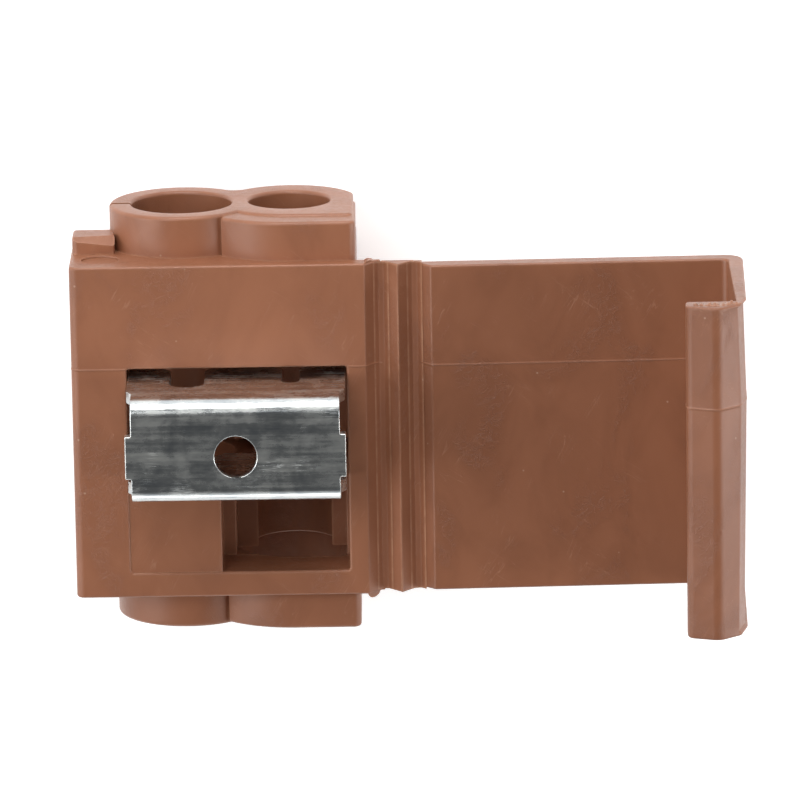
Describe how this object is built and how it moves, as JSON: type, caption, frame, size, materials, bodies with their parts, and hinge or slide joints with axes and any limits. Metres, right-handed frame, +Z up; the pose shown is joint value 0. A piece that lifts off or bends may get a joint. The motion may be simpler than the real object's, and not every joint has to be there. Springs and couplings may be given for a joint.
{
  "type": "t-tap connector",
  "caption": "Insulation-displacement wire tap: moulded housing with run and tap wire channels, snap cover on living hinges, and a U-shaped metal contact that presses into its window.",
  "frame": {"origin": "on the flat back face, under the run channel's axis, halfway along the body", "axes": "+X across the channels towards the open cover, +Y along the wires towards the end with the dimple, +Z up out of the window"},
  "size_m": [0.0433, 0.0274, 0.0252],
  "materials": {
    "moulded_plastic": "satin brown polypropylene",
    "hinge_plastic": "satin brown polypropylene, thin and flexed",
    "tinned_strip": "tin plate with rolling marks"
  },
  "bodies": {
    "housing": {"housing": "moulded_plastic"},
    "ridge": {"hinge_strip": "hinge_plastic"},
    "cover": {"cover": "moulded_plastic"},
    "contact": {"contact": "tinned_strip"}
  },
  "joints": [
    {"name": "first_fold", "type": "hinge", "parent": "housing", "child": "ridge", "pos_m": [0.01291, 0, 0.011], "axis": [0, -1, 0], "range_deg": [0, 90]},
    {"name": "second_fold", "type": "hinge", "parent": "ridge", "child": "cover", "pos_m": [0.01507, 0, 0.011], "axis": [0, -1, 0], "range_deg": [0, 90]},
    {"name": "contact_press", "type": "slide", "parent": "housing", "child": "contact", "axis": [0, 0, -1], "range_m": [0, 0.0071]}
  ],
  "couplings": [
    {"joint": "first_fold", "follows": "contact_press", "rad_per_m": 221.23}
  ]
}
